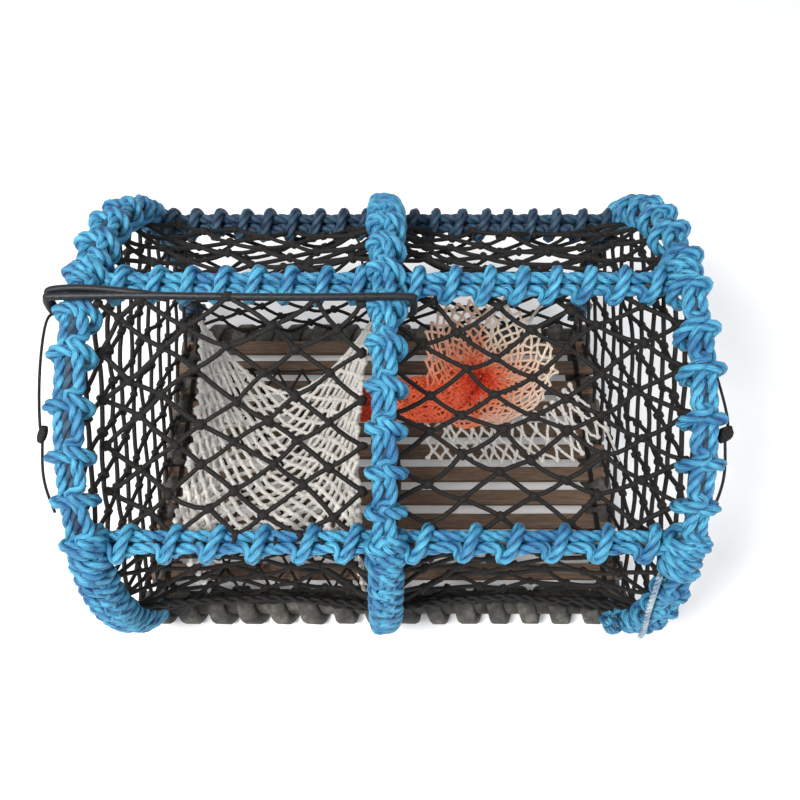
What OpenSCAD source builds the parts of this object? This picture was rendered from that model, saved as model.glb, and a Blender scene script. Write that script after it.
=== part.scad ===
/* [Frame] */
// Distance between the two end hoops, centre to centre
trap_length = 560; // [480:10:640]
// Distance between the front and back base bars, centre to centre
base_width = 390; // [340:5:420]
// Radius of the hoops at the centre of the rod
hoop_radius = 236; // [228:1:260]
// Diameter of the base bars
base_rod_d = 12; // [10:1:16]
// Diameter of the hoop rods
hoop_rod_d = 10; // [8:0.5:12]
// Diameter of the lengthwise rails
rail_rod_d = 8; // [6:0.5:10]
// How far the top rail sits behind the middle of the trap
top_rail_back = 25; // [0:1:40]

/* [Rubber wrapping] */
// Diameter of the rubber wrapping on the base bars
rubber_d = 38; // [32:1:44]
// How much of the wrapping is worn flat underneath
rubber_flat = 1.5; // [1:0.1:3]

/* [Floor] */
// Number of wooden floor slats
slat_count = 11; // [9:1:11]
// Distance from one slat to the next
slat_pitch = 32.5; // [28:0.5:34]
// Width of a slat
slat_w = 20; // [14:1:24]
// Thickness of a slat
slat_t = 8; // [6:0.5:12]
// How far the slats reach past the end bars
slat_overhang = 12; // [4:1:18]
// Width of a slat lashing
slat_tie_w = 4; // [2:0.5:6]
// Thickness of a slat lashing
slat_tie_t = 1.2; // [0.8:0.1:2]

/* [Rope lashing] */
// Diameter of the blue rope where it is hitched round a hoop or rail
rope_d = 11; // [9:0.5:12]
// Thickness of rope laid along a hoop under the hitches
hoop_lay = 4.8; // [3:0.2:6]
// Thickness of rope laid along a rail under the hitches
rail_lay = 5.7; // [4:0.1:7]
// Distance between hitches on the end hoops
end_hitch_pitch = 40; // [30:1:50]
// Distance between hitches on the middle hoop
middle_hitch_pitch = 31; // [26:1:45]
// Distance between hitches on the front rail
front_hitch_pitch = 40; // [30:1:50]
// Distance between hitches on the top rail
top_hitch_pitch = 34; // [28:1:50]
// Distance between hitches on the back rail
back_hitch_pitch = 30; // [26:1:50]
// Thickness of the dense whipping over each crossing
whip_thick = 12; // [8:0.5:14]
// Length of a whipping, as an angle round the hoop
whip_angle = 12; // [8:1:16]

/* [Netting] */
// Length of a diamond along the trap
mesh_l = 66; // [50:1:80]
// Height of a diamond across the panel
mesh_h = 50; // [36:1:60]
// Diameter of the netting twine
twine_d = 3.5; // [2.5:0.1:4]
// Width of the laced edge round each panel
net_edge = 4; // [3:0.5:6]

/* [Entrance eye] */
// Left edge of the entrance, from the left hoop
eye_left = 42; // [36:1:70]
// Right edge of the entrance, from the middle hoop
eye_right = 34; // [33:1:60]
// Height of the lower edge of the entrance
eye_low = 58; // [50:1:90]
// Distance of the upper edge of the entrance below the front rail
eye_below_rail = 24; // [20:1:60]
// Depth of the entrance eye from front to throat
eye_depth = 250; // [180:5:270]
// Width of the throat
throat_w = 160; // [100:5:180]
// Height of the throat
throat_h = 56; // [40:1:80]
// Height of the middle of the throat
throat_z = 150; // [130:1:170]
// Thickness of the netting of the eyes
eye_t = 3; // [2:0.5:4]
// How far the upper wall of the entrance eye sags
eye_sag = 34; // [10:1:36]

/* [Parlour eye] */
// Outer diameter of the sleeve
sleeve_d = 48; // [36:1:60]
// Wall of the sleeve
sleeve_wall = 4; // [3:0.5:6]
// Length of the sleeve on the entrance side of the middle hoop
sleeve_in = 30; // [15:1:50]
// Length of the sleeve on the parlour side of the middle hoop
sleeve_out = 100; // [60:1:120]
// Length of the flared net beyond the sleeve
flare_l = 95; // [60:1:110]
// Diameter of the flared net at its rim
flare_d = 140; // [120:1:160]
// Height of its rim
flare_h = 200; // [170:1:210]
// Lift of the middle of its rim over the sleeve
flare_lift = 30; // [20:1:34]
// Lean of its rim back over the sleeve
flare_lean = 18; // [10:1:20]
// Distance of the sleeve behind the middle of the trap
sleeve_back = 30; // [10:1:40]
// Height of the sleeve
sleeve_z = 152; // [140:1:170]

/* [Net door] */
// Diameter of the elastic cord on the free edge of the door
bungee_d = 7; // [5:0.5:9]
// How far the elastic cord lies in front of the middle of the trap
bungee_front = 14; // [8:1:20]
// Radius of the turn where the elastic cord goes over a hoop
bungee_bend = 9; // [7:0.5:12]
// Length of the elastic cord's turned down ends
bungee_tail = 16; // [8:1:20]
// Diameter of the cord loops that hinge the door
loop_cord_d = 4; // [3:0.5:4]
// Diameter of the knots on the outside of the end hoops
knot_d = 12; // [8:0.5:14]

/* [Hidden] */
$fn = 48;
seat = 0.3;
bite = 0.1;
tie_d = 3;
end_x = trap_length / 2;
side_y = base_width / 2;
rubber_r = rubber_d / 2;
base_z = rubber_r - rubber_flat;
hoop_z = base_z + sqrt(hoop_radius * hoop_radius - side_y * side_y);
foot_angle = -atan2(hoop_z - base_z, side_y);
rail_radius = hoop_radius - hoop_rod_d / 2 - rail_rod_d / 2 - 2 * seat;
rail_z = hoop_z + sqrt(rail_radius * rail_radius - side_y * side_y);
top_rail_z = hoop_z + sqrt(rail_radius * rail_radius - top_rail_back * top_rail_back);
back_angle = atan2(rail_z - hoop_z, side_y);
front_angle = 180 - back_angle;
top_angle = atan2(top_rail_z - hoop_z, top_rail_back);
hoop_core_r = hoop_rod_d / 2 + seat + hoop_lay;
hitch_r = hoop_core_r + seat + rope_d / 2;
hitch_out = hitch_r + rope_d / 2;
whip_r = hoop_rod_d / 2 + whip_thick;
rail_core_r = rail_rod_d / 2 + seat + rail_lay;
bead_out = rail_core_r + rope_d / 2;
rail_in = whip_r + 2 * seat;
foot_gap = (rubber_r + 3) * 180 / PI / hoop_radius;
half_whip = whip_angle / 2;
part_gap = seat * 180 / PI / hoop_radius;
rubber_top = base_z + rubber_r;
slat_z = rubber_top + bite;
slat_top = slat_z + slat_t;
net_low = slat_top + slat_tie_t + 2 * seat;
net_r = hoop_radius - hitch_out - seat;
net_t = twine_d - 0.5;
panel_gap = hitch_out + seat;
front_rail_p = [-side_y, rail_z];
back_rail_p = [side_y, rail_z];
top_rail_p = [top_rail_back, top_rail_z];
front_base_p = [-side_y, base_z];
back_base_p = [side_y, base_z];
bungee_lift = hoop_radius + hitch_out + seat + bungee_d / 2;
bungee_z = hoop_z + sqrt(bungee_lift * bungee_lift - bungee_front * bungee_front);
bungee_p = [-bungee_front, bungee_z];
eye_x0 = -end_x + eye_left;
eye_x1 = -eye_right;
eye_z1 = rail_z - eye_below_rail;
eye_y0 = -side_y + net_t / 2 + seat;
eye_y1 = eye_y0 + eye_depth;
eye_mid_x = (eye_x0 + eye_x1) / 2;
roof_rows = [[0, 0], [0.18, 0], [0.42, 1], [0.75, 0.5], [1, 0]];
roof_across = [0, 0.25, 0.5, 0.75, 1];
window_gap = 2;
thin = 0.6;
flare_x = sleeve_out + seat;
knot_hitch = 3;

rope_blue = [0.2, 0.55, 0.82];
net_black = [0.16, 0.16, 0.15];
rubber_black = [0.27, 0.26, 0.24];
slat_brown = [0.43, 0.32, 0.25];
eye_white = [0.88, 0.86, 0.83];
steel_grey = [0.45, 0.46, 0.47];

// A torus with its axis along Z
module ring(ring_r, tube_r) {
    rotate_extrude() translate([ring_r, 0]) circle(r = tube_r);
}

// Turns a shape drawn round Z into the plane of a hoop at x
module in_hoop_plane(x) {
    translate([x, 0, hoop_z]) rotate([90, 0, 90]) children();
}

// Sweeps a flat section round a hoop, from one angle to another
module hoop_sweep(x, from, to) {
    in_hoop_plane(x) rotate([0, 0, from]) rotate_extrude(angle = to - from)
        translate([hoop_radius, 0]) children();
}

// A bar along X between two places
module bar_x(d, x0, x1, p) {
    translate([x0, p[0], p[1]]) rotate([0, 90, 0]) cylinder(d = d, h = x1 - x0);
}

// A bar along Y between two places
module bar_y(d, y0, y1, x, z) {
    translate([x, y0, z]) rotate([-90, 0, 0]) cylinder(d = d, h = y1 - y0);
}

// A cord from one point to another, shortened at both ends
module cord(a, b, d, trim_a, trim_b) {
    v = b - a;
    run = norm(v);
    translate(a + v / run * trim_a) rotate([0, acos(v[2] / run), atan2(v[1], v[0])])
        cylinder(d = d, h = run - trim_a - trim_b);
}

// Straight stretch of a hoop where it goes into the rubber
module foot_hole(x, side) {
    a = side > 0 ? foot_angle : 180 - foot_angle;
    in_hoop_plane(x) rotate([0, 0, a]) translate([hoop_radius, 0, 0]) rotate([-90, 0, 0])
        translate([0, 0, -rubber_d]) cylinder(d = hoop_rod_d + 2.4, h = 2 * rubber_d);
}

// Welded steel frame

module base_bars() {
    color(steel_grey) {
        bar_x(base_rod_d, -end_x - base_rod_d / 2, end_x + base_rod_d / 2, front_base_p);
        bar_x(base_rod_d, -end_x - base_rod_d / 2, end_x + base_rod_d / 2, back_base_p);
        for (x = [-end_x, end_x]) base_end_bar(x);
    }
}

module base_end_bar(x) {
    difference() {
        bar_y(base_rod_d, -side_y, side_y, x, base_z);
        bar_x(base_rod_d + 2 * bite, x - base_rod_d, x + base_rod_d, front_base_p);
        bar_x(base_rod_d + 2 * bite, x - base_rod_d, x + base_rod_d, back_base_p);
    }
}

module base_cross_bar() {
    color(steel_grey) base_end_bar(0);
}

module hoop(x) {
    color(steel_grey) difference() {
        hoop_sweep(x, foot_angle, 180 - foot_angle) circle(d = hoop_rod_d);
        bar_x(base_rod_d + 2 * bite, x - base_rod_d, x + base_rod_d, front_base_p);
        bar_x(base_rod_d + 2 * bite, x - base_rod_d, x + base_rod_d, back_base_p);
    }
}

module rail(p) {
    color(steel_grey) bar_x(rail_rod_d, -end_x - hoop_rod_d / 2, end_x + hoop_rod_d / 2, p);
}

// Rubber strip wound round the base bars, worn flat underneath

module worn_flat() {
    difference() {
        children();
        translate([-trap_length, -base_width, -rubber_d])
            cube([2 * trap_length, 2 * base_width, rubber_d]);
    }
}

module long_rubber(p, side) {
    color(rubber_black) worn_flat() difference() {
        bar_x(rubber_d, -end_x - rubber_r, end_x + rubber_r, p);
        bar_x(base_rod_d + 2 * seat, -end_x - rubber_d, end_x + rubber_d, p);
        for (x = [-end_x, 0, end_x]) {
            foot_hole(x, side);
            bar_y(base_rod_d + 2 * seat, min(0, side * side_y), max(0, side * side_y), x, base_z);
        }
    }
}

module cross_rubber(x) {
    color(rubber_black) worn_flat() difference() {
        bar_y(rubber_d, -side_y, side_y, x, base_z);
        bar_y(base_rod_d + 2 * seat, -side_y, side_y, x, base_z);
        bar_x(rubber_d + 2 * seat, x - rubber_d, x + rubber_d, front_base_p);
        bar_x(rubber_d + 2 * seat, x - rubber_d, x + rubber_d, back_base_p);
    }
}

// Wooden floor

function slat_y(i) = (i - (slat_count + 1) / 2) * slat_pitch;

module floor_slat(i) {
    color(slat_brown) translate([-end_x - slat_overhang, slat_y(i) - slat_w / 2, slat_z])
        cube([trap_length + 2 * slat_overhang, slat_w, slat_t]);
}

module slat_tie(x, i) {
    in_w = slat_w + 2 * bite;
    in_t = slat_t + 2 * bite;
    translate([x, slat_y(i), slat_z + slat_t / 2]) difference() {
        cube([slat_tie_w, in_w + 2 * slat_tie_t, in_t + 2 * slat_tie_t], center = true);
        cube([2 * slat_tie_w, in_w, in_t], center = true);
    }
}

module slat_lashings() {
    drop = rubber_r - slat_tie_t - 4 * bite;
    tie_x = sqrt(rubber_r * rubber_r - drop * drop) + slat_tie_w;
    color(net_black) for (i = [1:slat_count]) {
        slat_tie(-end_x + tie_x, i);
        slat_tie(tie_x, i);
        slat_tie(end_x - tie_x, i);
    }
}

// Blue rope laid along the hoops, hitched over it, and whipped at the crossings

foot_start = foot_angle + foot_gap;
foot_end = foot_start + whip_angle;
arcs = [
    [foot_end + part_gap, back_angle - half_whip - part_gap],
    [back_angle + half_whip + part_gap, top_angle - half_whip - part_gap],
    [top_angle + half_whip + part_gap, front_angle - half_whip - part_gap],
    [front_angle + half_whip + part_gap, 180 - foot_end - part_gap]
];

module hoop_rope(x) {
    color(rope_blue) for (arc = arcs) hoop_sweep(x, arc[0], arc[1]) difference() {
        circle(r = hoop_core_r);
        circle(r = hoop_rod_d / 2 + seat);
    }
}

function arc_len(arc) = (arc[1] - arc[0]) * PI / 180 * hoop_radius;
function hitch_count(arc, pitch) = max(2, round(arc_len(arc) / pitch));
function hitch_angle(arc, pitch, k) = arc[0] + (arc[1] - arc[0]) * (k + 0.5) / hitch_count(arc, pitch);

module hoop_hitches(x, pitch) {
    color(rope_blue) for (arc = arcs) for (k = [0:hitch_count(arc, pitch) - 1])
        in_hoop_plane(x) rotate([0, 0, hitch_angle(arc, pitch, k)])
            translate([hoop_radius, 0, 0]) rotate([90, 0, 0]) ring(hitch_r, rope_d / 2);
}

module whipping(x, from, to) {
    difference() {
        hoop_sweep(x, from, to) difference() {
            circle(r = whip_r);
            circle(r = hoop_rod_d / 2 + seat);
        }
        for (p = [front_rail_p, top_rail_p, back_rail_p])
            bar_x(rail_rod_d + 2 * bite, x - 2 * whip_r, x + 2 * whip_r, p);
    }
}

module whippings(x) {
    color(rope_blue) {
        whipping(x, foot_start, foot_end);
        for (a = [back_angle, top_angle, front_angle]) whipping(x, a - half_whip, a + half_whip);
        whipping(x, 180 - foot_end, 180 - foot_start);
    }
}

// The rope on a rail to one side of the middle hoop: a laid core with a round bead for each hitch
module rail_rope(p, side, pitch) {
    run = end_x - 2 * rail_in;
    count = round(run / pitch);
    x0 = side < 0 ? -end_x + rail_in : rail_in;
    color(rope_blue) translate([x0, p[0], p[1]]) rotate([0, 90, 0]) rotate_extrude() difference() {
        union() {
            square([rail_core_r, run]);
            for (k = [0:count - 1]) translate([rail_core_r, run * (k + 0.5) / count]) circle(d = rope_d);
        }
        square([rail_rod_d / 2 + seat, run]);
    }
}

// Black diamond netting

module diamonds(w, h) {
    lean = atan2(mesh_h, mesh_l);
    reach = h / sin(lean) + mesh_l;
    for (i = [-ceil(h / mesh_h) - 1 : ceil(w / mesh_l)])
        translate([i * mesh_l, 0]) rotate(lean) translate([0, -twine_d / 2]) square([reach, twine_d]);
    for (i = [0 : ceil(w / mesh_l) + ceil(h / mesh_h) + 1])
        translate([i * mesh_l, 0]) rotate(180 - lean) translate([0, -twine_d / 2]) square([reach, twine_d]);
}

module net_panel(w, h) {
    linear_extrude(net_t) {
        difference() {
            square([w, h]);
            translate([net_edge, net_edge]) square([w - 2 * net_edge, h - 2 * net_edge]);
        }
        intersection() {
            square([w, h]);
            diamonds(w, h);
        }
    }
}

// A panel from line a to line b, each given as [y, z], kept off both by a radius
module net_between(a, b, off_a, off_b, side) {
    run = norm(b - a) - off_a - off_b;
    x0 = side < 0 ? -end_x + panel_gap : panel_gap;
    color(net_black) translate([x0, a[0], a[1]]) rotate([atan2(b[1] - a[1], b[0] - a[0]), 0, 0])
        translate([0, off_a, -net_t / 2]) net_panel(end_x - 2 * panel_gap, run);
}

module top_net() {
    net_between(front_rail_p, top_rail_p, bead_out + seat, bead_out + seat, 1);
}

module crown_net(side) {
    net_between(top_rail_p, back_rail_p, bead_out + seat, bead_out + seat, side);
}

module back_net(side) {
    net_between(back_base_p, back_rail_p, rubber_r + seat, bead_out + seat, side);
}

module front_net_right() {
    net_between(front_base_p, front_rail_p, rubber_r + seat, bead_out + seat, 1);
}

module end_outline(r, low) {
    intersection() {
        translate([0, hoop_z]) circle(r = r);
        translate([-hoop_radius, low]) square([2 * hoop_radius, 2 * hoop_radius]);
    }
}

module end_lattice() {
    difference() {
        end_outline(net_r, net_low);
        end_outline(net_r - net_edge, net_low + net_edge);
    }
    intersection() {
        end_outline(net_r, net_low);
        translate([-3.5 * mesh_l, net_low]) diamonds(7 * mesh_l, 2 * hoop_radius);
    }
}

module end_net(x) {
    color(net_black) translate([x - net_t / 2, 0, 0]) rotate([90, 0, 90]) linear_extrude(net_t) end_lattice();
}

// One piece of the netting between the compartments, cut to a rectangle of y and z
module partition_piece(y0, y1, z0, z1) {
    linear_extrude(net_t) intersection() {
        union() {
            end_lattice();
            difference() {
                translate([y0, z0]) square([y1 - y0, z1 - z0]);
                translate([y0 + net_edge, z0 + net_edge])
                    square([y1 - y0 - 2 * net_edge, z1 - z0 - 2 * net_edge]);
            }
        }
        end_outline(net_r, net_low);
        translate([y0, z0]) square([y1 - y0, z1 - z0]);
    }
}

module partition_net() {
    hole = sleeve_d / 2 + 2 * seat;
    y0 = sleeve_back - hole;
    y1 = sleeve_back + hole;
    far = 2 * hoop_radius;
    color(net_black) translate([-net_t / 2, 0, 0]) rotate([90, 0, 90]) {
        partition_piece(-far, y0 - seat, net_low, far);
        partition_piece(y1 + seat, far, net_low, far);
        partition_piece(y0, y1, sleeve_z + hole, far);
        partition_piece(y0, y1, net_low, sleeve_z - hole);
    }
}

module net_strip(x0, x1, z0, z1) {
    translate([x0, z0, 0]) net_panel(x1 - x0, z1 - z0);
}

// Front netting of the entrance side: four laced strips round the mouth of the eye
module front_net_left() {
    x0 = -end_x + panel_gap;
    x1 = -panel_gap;
    z0 = rubber_top + seat;
    z1 = rail_z - bead_out - seat;
    low = eye_low + window_gap;
    high = eye_z1 - window_gap;
    color(net_black) translate([0, -side_y + net_t / 2, 0]) rotate([90, 0, 0]) {
        net_strip(x0, x1, z0, low);
        net_strip(x0, x1, high, z1);
        net_strip(x0, eye_x0 + window_gap, low + seat, high - seat);
        net_strip(eye_x1 - window_gap, x1, low + seat, high - seat);
    }
}

// White netting eye of the entrance, four tapered walls from the front to the throat

function eye_outer(i, inset) = [
    [eye_x0 + inset, eye_y0, eye_low + inset], [eye_x1 - inset, eye_y0, eye_low + inset],
    [eye_x1 - inset, eye_y0, eye_z1 - inset], [eye_x0 + inset, eye_y0, eye_z1 - inset]
][i];
function eye_inner(i, inset) = [
    [eye_mid_x - throat_w / 2 + inset, eye_y1, throat_z - throat_h / 2 + inset],
    [eye_mid_x + throat_w / 2 - inset, eye_y1, throat_z - throat_h / 2 + inset],
    [eye_mid_x + throat_w / 2 - inset, eye_y1, throat_z + throat_h / 2 - inset],
    [eye_mid_x - throat_w / 2 + inset, eye_y1, throat_z + throat_h / 2 - inset]
][i];

module eye_wall(i) {
    j = (i + 1) % 4;
    slip = (i % 2 == 0 ? [1, 0, 0] : [0, 0, 1]) * (i < 2 ? seat : -seat);
    polyhedron(
        points = [
            eye_outer(i, 0) + slip, eye_outer(j, 0) - slip, eye_inner(j, 0) - slip, eye_inner(i, 0) + slip,
            eye_outer(i, eye_t) + slip, eye_outer(j, eye_t) - slip,
            eye_inner(j, eye_t) - slip, eye_inner(i, eye_t) + slip
        ],
        faces = [[0, 1, 2, 3], [7, 6, 5, 4], [4, 5, 1, 0], [5, 6, 2, 1], [6, 7, 3, 2], [7, 4, 0, 3]]
    );
}

function mix(a, b, share) = a + (b - a) * share;

// A point of the upper wall: row gives its share of the depth and of the sag, u its place across
function roof_point(row, u, inset) =
    mix(
        mix(eye_outer(3, inset) + [seat, 0, 0], eye_outer(2, inset) - [seat, 0, 0], u),
        mix(eye_inner(3, inset) + [seat, 0, 0], eye_inner(2, inset) - [seat, 0, 0], u),
        row[0]
    ) - [0, 0, eye_sag * row[1] * 4 * u * (1 - u)];

// Two triangles on four corners
function two_triangles(a, b, c, d) = [[a, b, c], [a, c, d]];

// The upper wall hangs in a shallow bag between its edges, as slack netting does
module eye_roof() {
    n = len(roof_across);
    m = len(roof_rows);
    under = n * m;
    polyhedron(
        points = [
            for (inset = [0, eye_t]) for (row = roof_rows) for (u = roof_across) roof_point(row, u, inset)
        ],
        faces = concat(
            [for (r = [0:m - 2]) for (c = [0:n - 2]) let (a = r * n + c)
                each two_triangles(a, a + n, a + n + 1, a + 1)],
            [for (r = [0:m - 2]) for (c = [0:n - 2]) let (a = under + r * n + c)
                each two_triangles(a, a + 1, a + n + 1, a + n)],
            [for (c = [0:n - 2]) each two_triangles(c, c + 1, under + c + 1, under + c)],
            [for (c = [0:n - 2]) let (a = (m - 1) * n + c)
                each two_triangles(a + 1, a, under + a, under + a + 1)],
            [for (r = [0:m - 2]) let (a = r * n) each two_triangles(a + n, a, under + a, under + a + n)],
            [for (r = [0:m - 2]) let (a = r * n + n - 1)
                each two_triangles(a, a + n, under + a + n, under + a)]
        )
    );
}

module entrance_eye() {
    color(eye_white) {
        for (i = [0, 1, 3]) eye_wall(i);
        eye_roof();
    }
}

module eye_ties() {
    color(net_black) {
        cord(eye_inner(3, 0), [-end_x + 2 * panel_gap, side_y, rail_z], tie_d, seat, bead_out + seat);
        cord(eye_inner(2, 0), [-2 * panel_gap, side_y, rail_z], tie_d, seat, bead_out + seat);
    }
}

// Orange sleeve through the partition and the net that flares from it

module along_sleeve(x) {
    translate([x, sleeve_back, sleeve_z]) rotate([0, 90, 0]) children();
}

module parlour_sleeve() {
    color([0.88, 0.28, 0.17]) along_sleeve(-sleeve_in) difference() {
        cylinder(d = sleeve_d, h = sleeve_in + sleeve_out);
        translate([0, 0, -1]) cylinder(d = sleeve_d - 2 * sleeve_wall, h = sleeve_in + sleeve_out + 2);
    }
}

// The netting fans upward: its rim is taller than it is wide and its top leans back over the sleeve
module flare_form(inset, more) {
    hull() {
        translate([-more, 0, 0]) rotate([0, 90, 0]) cylinder(r = sleeve_d / 2 - inset, h = thin);
        translate([flare_l / 2 + more, 0, flare_lift]) rotate([0, 90 - flare_lean, 0])
            scale([flare_h / flare_d, 1, 1]) cylinder(r = flare_d / 2 - inset, h = thin);
    }
}

module parlour_flare() {
    color([0.93, 0.6, 0.5]) translate([flare_x, sleeve_back, sleeve_z]) difference() {
        flare_form(0, 0);
        flare_form(sleeve_wall, thin);
    }
}

// Cords from the top of the flare's rim to the three rails
module flare_ties() {
    rim_x = flare_x + flare_l / 2 - flare_h / 2 * sin(flare_lean);
    rim_z = sleeve_z + flare_lift + flare_h / 2 * cos(flare_lean) + seat;
    color(eye_white) {
        cord([rim_x, sleeve_back, rim_z], [rim_x, top_rail_p[0], top_rail_p[1]], tie_d, 0, bead_out + seat);
        for (p = [front_rail_p, back_rail_p])
            cord(
                [rim_x, sleeve_back + sign(p[0]) * 2.5 * tie_d, rim_z + tie_d / 2],
                [rim_x, p[0], p[1]], tie_d, 0, bead_out + seat
            );
    }
}

// Net door of the entrance side: it hangs on the front rail and is held shut by the elastic cord

module door_net() {
    net_between(front_rail_p, bungee_p, bead_out + seat, bungee_d / 2 + seat, -1);
}

module door_loops() {
    run = end_x - 2 * rail_in;
    count = round(run / front_hitch_pitch);
    loop_r = bead_out - loop_cord_d / 2;
    color(net_black) for (k = [1:count - 1])
        translate([-end_x + rail_in + run * k / count, -side_y, rail_z]) rotate([0, 90, 0])
            ring(loop_r, loop_cord_d / 2);
}

module bungee_end(x, side) {
    translate([x, -bungee_front, bungee_z - bungee_bend]) {
        rotate([90, 0, 0]) rotate([0, 0, side < 0 ? 90 : 0]) rotate_extrude(angle = 90)
            translate([bungee_bend, 0]) circle(d = bungee_d);
        translate([side * bungee_bend, 0, -bungee_tail]) cylinder(d = bungee_d, h = bungee_tail);
    }
}

module bungee_cord() {
    x0 = -end_x - hitch_out - seat - bungee_d / 2 + bungee_bend;
    x1 = hitch_out + seat + bungee_d / 2 - bungee_bend;
    color(net_black) {
        bar_x(bungee_d, x0, x1, bungee_p);
        bungee_end(x0, -1);
        bungee_end(x1, 1);
    }
}

module end_knots() {
    a = hitch_angle(arcs[2], end_hitch_pitch, knot_hitch);
    out = hitch_out + seat + knot_d / 2;
    color(net_black) for (side = [-1, 1]) in_hoop_plane(side * end_x) rotate([0, 0, a])
        translate([hoop_radius, 0, side * out]) sphere(d = knot_d);
}

base_bars();
base_cross_bar();
hoop(-end_x);  // left_hoop
hoop(0);  // middle_hoop
hoop(end_x);  // right_hoop
rail(front_rail_p);  // front_rail
rail(top_rail_p);  // top_rail
rail(back_rail_p);  // back_rail
long_rubber(front_base_p, -1);  // front_rubber
long_rubber(back_base_p, 1);  // back_rubber
cross_rubber(-end_x);  // left_rubber
cross_rubber(end_x);  // right_rubber
cross_rubber(0);  // middle_rubber
for (i = [1:slat_count]) floor_slat(i);
slat_lashings();
hoop_rope(-end_x);  // left_hoop_rope
hoop_rope(0);  // middle_hoop_rope
hoop_rope(end_x);  // right_hoop_rope
hoop_hitches(-end_x, end_hitch_pitch);  // left_hoop_hitches
hoop_hitches(0, middle_hitch_pitch);  // middle_hoop_hitches
hoop_hitches(end_x, end_hitch_pitch);  // right_hoop_hitches
whippings(-end_x);  // left_whippings
whippings(0);  // middle_whippings
whippings(end_x);  // right_whippings
rail_rope(front_rail_p, -1, front_hitch_pitch);  // front_rope_left
rail_rope(front_rail_p, 1, front_hitch_pitch);  // front_rope_right
rail_rope(top_rail_p, -1, top_hitch_pitch);  // top_rope_left
rail_rope(top_rail_p, 1, top_hitch_pitch);  // top_rope_right
rail_rope(back_rail_p, -1, back_hitch_pitch);  // back_rope_left
rail_rope(back_rail_p, 1, back_hitch_pitch);  // back_rope_right
door_net();
door_loops();
bungee_cord();
top_net();
crown_net(-1);  // crown_net_left
crown_net(1);  // crown_net_right
back_net(-1);  // back_net_left
back_net(1);  // back_net_right
front_net_left();
front_net_right();
end_net(-end_x);  // left_end_net
end_net(end_x);  // right_end_net
partition_net();
entrance_eye();
eye_ties();
parlour_sleeve();
parlour_flare();
flare_ties();
end_knots();
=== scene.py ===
# Looks of a lobster trap: a steel frame of three hoops on a rubber-wrapped base, hitched over with
# blue rope, netted in black twine, with a white entrance eye and an orange eye to the parlour.
import math
import random
import bmesh
import bpy
import numpy as np
from mathutils import Matrix, Vector, kdtree
from mathutils import noise as noise_field


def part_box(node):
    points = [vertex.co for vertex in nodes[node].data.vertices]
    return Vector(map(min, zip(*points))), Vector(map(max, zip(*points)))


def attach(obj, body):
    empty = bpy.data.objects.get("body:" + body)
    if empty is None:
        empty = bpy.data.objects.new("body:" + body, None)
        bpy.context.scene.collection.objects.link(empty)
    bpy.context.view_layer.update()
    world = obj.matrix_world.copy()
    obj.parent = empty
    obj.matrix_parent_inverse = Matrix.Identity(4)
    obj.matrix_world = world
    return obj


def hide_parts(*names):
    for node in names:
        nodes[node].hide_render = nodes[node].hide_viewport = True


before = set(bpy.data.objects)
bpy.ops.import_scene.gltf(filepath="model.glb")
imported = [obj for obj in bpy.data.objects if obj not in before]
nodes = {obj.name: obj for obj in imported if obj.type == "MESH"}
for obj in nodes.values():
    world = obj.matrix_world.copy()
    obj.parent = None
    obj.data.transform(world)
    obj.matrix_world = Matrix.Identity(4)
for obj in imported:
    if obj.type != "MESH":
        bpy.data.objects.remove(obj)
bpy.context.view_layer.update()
scene = bpy.context.scene
scene.view_settings.view_transform = "Standard"


# Camera
# It stands in front of the trap and looks down on it at 63 degrees, with the lens worked out from
# the base bars and rails. The small shift puts the trap where the photograph has it.
camera_place = Vector((0, -0.4085, 0.9587))
camera_target = Vector((0, 0, 0.15))
camera_data = bpy.data.cameras.new("camera")
camera_data.sensor_width = 36
camera_data.lens = 33.75
camera_data.shift_x = 0.0175
camera_data.shift_y = 0.01875
camera = bpy.data.objects.new("camera", camera_data)
camera.location = camera_place
camera.rotation_euler = (camera_target - camera_place).to_track_quat("-Z", "Y").to_euler()
scene.collection.objects.link(camera)
scene.camera = camera


# Light
# A pale room with a large soft lamp over the front left, which models the ropes, and a weaker one
# on the right, which opens their shadows.
world = bpy.data.worlds.new("room")
world.use_nodes = True
world.node_tree.nodes["Background"].inputs["Color"].default_value = (0.93, 0.96, 1, 1)
world.node_tree.nodes["Background"].inputs["Strength"].default_value = 0.6
scene.world = world


def soft_lamp(name, place, size, power, colour):
    data = bpy.data.lights.new(name, "AREA")
    data.shape = "DISK"
    data.size = size
    data.energy = power
    data.color = colour
    lamp = bpy.data.objects.new(name, data)
    lamp.location = place
    lamp.rotation_euler = (Vector((0, 0, 0.15)) - lamp.location).to_track_quat("-Z", "Y").to_euler()
    scene.collection.objects.link(lamp)


soft_lamp("key_lamp", Vector((-0.9, -0.7, 1.9)), 0.6, 46, (1, 0.98, 0.95))
soft_lamp("fill_lamp", Vector((1.3, -0.9, 1.3)), 1.2, 10, (0.92, 0.96, 1))


# Floor
# A plain pale floor. The camera and mirror rays see it paler than the other rays do, so that it is
# near white in the open, and it keeps the shadow.
class Shading:
    """A material's node tree, with its nodes added and joined by short calls."""

    def __init__(self, name):
        self.material = bpy.data.materials.new(name)
        self.material.use_nodes = True
        self.tree = self.material.node_tree
        self.tree.nodes.clear()
        self.out = self.add("ShaderNodeOutputMaterial")

    def add(self, kind, links=None, **values):
        node = self.tree.nodes.new(kind)
        for key, value in values.items():
            setattr(node, key, value)
        for key, value in (links or {}).items():
            if isinstance(value, bpy.types.NodeSocket):
                self.tree.links.new(value, node.inputs[key])
            else:
                node.inputs[key].default_value = value
        return node

    def finish(self, shader):
        self.tree.links.new(shader, self.out.inputs["Surface"])
        return self.material


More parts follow.
